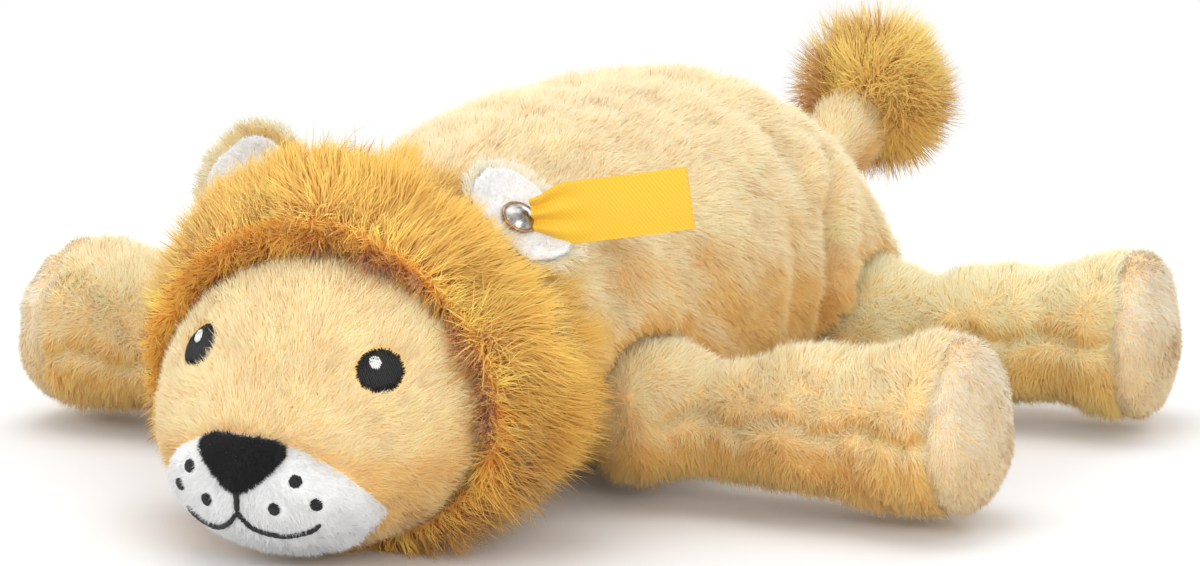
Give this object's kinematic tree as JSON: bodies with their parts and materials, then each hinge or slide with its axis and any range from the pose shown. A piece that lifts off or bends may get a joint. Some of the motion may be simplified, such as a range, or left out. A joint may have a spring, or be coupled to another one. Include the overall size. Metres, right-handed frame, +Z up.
{
  "type": "plush lion",
  "caption": "Floppy plush lion lying on its belly, legs spread, with a long-pile mane and tail tuft, sewn ears, and a ribbon held by a metal button in one ear.",
  "frame": {"origin": "on the floor plane, under the middle of the length and width", "axes": "+Y from the nose towards the tail, +X to the lion's left, +Z up"},
  "size_m": [0.2355, 0.2981, 0.085],
  "materials": {
    "cream_plush": "short cream plush",
    "gold_plush": "long golden pile",
    "sole_plush": "pale short plush",
    "white_plush": "white short plush",
    "black_plush": "black short plush",
    "black_thread": "black satin embroidery",
    "stuffing": "white polyester fibre filling",
    "button_metal": "bare nickel-plated metal, worn satin",
    "yellow_ribbon": "woven yellow ribbon"
  },
  "bodies": {
    "torso": {"back_panel_left": "cream_plush", "back_panel_right": "cream_plush", "belly_panel": "cream_plush", "torso_stuffing": "stuffing"},
    "head": {"face_panel": "cream_plush", "muzzle_panel": "white_plush", "nose": "black_plush", "eye_left": "black_thread", "eye_right": "black_thread", "mane_panel": "gold_plush", "head_back_panel": "cream_plush", "head_stuffing": "stuffing"},
    "ear_left": {"ear_left_back": "cream_plush", "ear_left_lining": "white_plush", "ear_button": "button_metal", "ear_button_washer": "button_metal"},
    "ear_right": {"ear_right_back": "cream_plush", "ear_right_lining": "white_plush"},
    "tag": {"ear_tag": "yellow_ribbon"},
    "tail": {"tail_skin": "cream_plush", "tail_stuffing": "stuffing", "tail_tuft": "gold_plush"},
    "front_leg_left": {"front_leg_left_upper_panel": "cream_plush", "front_leg_left_lower_panel": "cream_plush", "front_leg_left_sole": "sole_plush", "front_leg_left_stuffing": "stuffing"},
    "front_leg_right": {"front_leg_right_upper_panel": "cream_plush", "front_leg_right_lower_panel": "cream_plush", "front_leg_right_sole": "sole_plush", "front_leg_right_stuffing": "stuffing"},
    "hind_leg_left": {"hind_leg_left_upper_panel": "cream_plush", "hind_leg_left_lower_panel": "cream_plush", "hind_leg_left_sole": "sole_plush", "hind_leg_left_stuffing": "stuffing"},
    "hind_leg_right": {"hind_leg_right_upper_panel": "cream_plush", "hind_leg_right_lower_panel": "cream_plush", "hind_leg_right_sole": "sole_plush", "hind_leg_right_stuffing": "stuffing"}
  },
  "joints": [
    {"name": "head_nod", "type": "hinge", "parent": "torso", "child": "head", "pos_m": [0, -0.0565, 0.038], "axis": [-1, 0, 0], "range_deg": [-12, 25]},
    {"name": "front_leg_left_lift", "type": "hinge", "parent": "torso", "child": "front_leg_left", "pos_m": [0.03801, -0.0435, 0.0185], "axis": [0, -1, 0], "range_deg": [-25, 22]},
    {"name": "front_leg_right_lift", "type": "hinge", "parent": "torso", "child": "front_leg_right", "pos_m": [-0.03801, -0.0435, 0.0185], "axis": [0, 1, 0], "range_deg": [-25, 22]},
    {"name": "hind_leg_left_lift", "type": "hinge", "parent": "torso", "child": "hind_leg_left", "pos_m": [0.04369, 0.0475, 0.0185], "axis": [0, -1, 0], "range_deg": [-25, 22]},
    {"name": "hind_leg_right_lift", "type": "hinge", "parent": "torso", "child": "hind_leg_right", "pos_m": [-0.04369, 0.0475, 0.0185], "axis": [0, 1, 0], "range_deg": [-25, 22]},
    {"name": "tail_swing", "type": "hinge", "parent": "torso", "child": "tail", "pos_m": [0, 0.084, 0.03], "axis": [0, 0, 1], "range_deg": [-25, 25], "stiffness_Nm_per_rad": 0.05},
    {"name": "ear_left_fold", "type": "hinge", "parent": "head", "child": "ear_left", "pos_m": [0.02823, -0.09072, 0.06439], "axis": [0.7747, 0, -0.6324], "range_deg": [-12, 30], "stiffness_Nm_per_rad": 0.005},
    {"name": "ear_right_fold", "type": "hinge", "parent": "head", "child": "ear_right", "pos_m": [-0.02841, -0.0856, 0.06274], "axis": [0.7692, 0, 0.639], "range_deg": [-20, 30], "stiffness_Nm_per_rad": 0.005},
    {"name": "tag_flap", "type": "hinge", "parent": "ear_left", "child": "tag", "pos_m": [0.03493, -0.08409, 0.06823], "axis": [0, 0, 1], "range_deg": [-50, 8], "stiffness_Nm_per_rad": 0.001}
  ]
}
